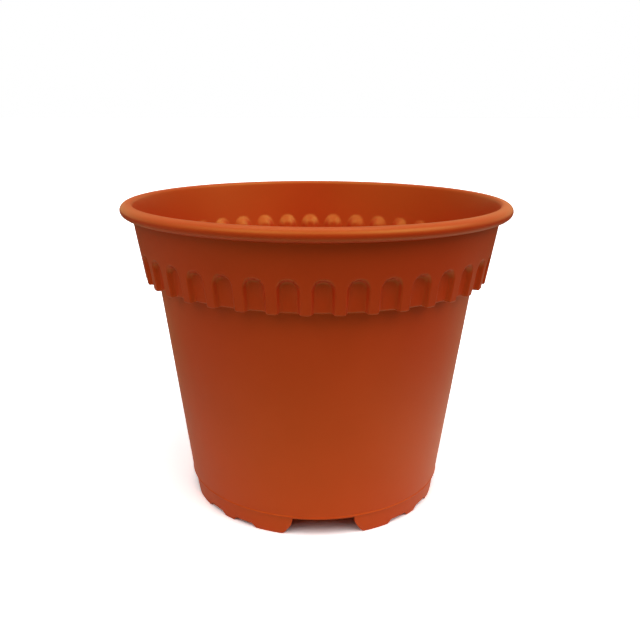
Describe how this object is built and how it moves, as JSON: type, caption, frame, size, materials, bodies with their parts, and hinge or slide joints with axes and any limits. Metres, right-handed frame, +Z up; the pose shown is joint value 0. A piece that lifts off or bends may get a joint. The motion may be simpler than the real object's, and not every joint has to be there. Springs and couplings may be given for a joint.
{
  "type": "plant pot",
  "caption": "Round tapered plant pot with a rolled rim, a skirt of arched flutes over a plain wall, and a notched foot ring under a floor with drain holes.",
  "frame": {"origin": "centre of the pot on the ground, at the underside of the feet", "axes": "+Z up along the pot's axis, -Y through the large foot opening that the picture shows in front"},
  "size_m": [0.2, 0.2, 0.1557],
  "materials": {
    "terracotta_plastic": "satin moulded plastic with a faint grain"
  },
  "bodies": {
    "root": {"rolled_rim": "terracotta_plastic", "upper_band": "terracotta_plastic", "fluted_skirt": "terracotta_plastic", "side_wall": "terracotta_plastic", "pot_floor": "terracotta_plastic", "foot_ring": "terracotta_plastic"}
  },
  "joints": []
}
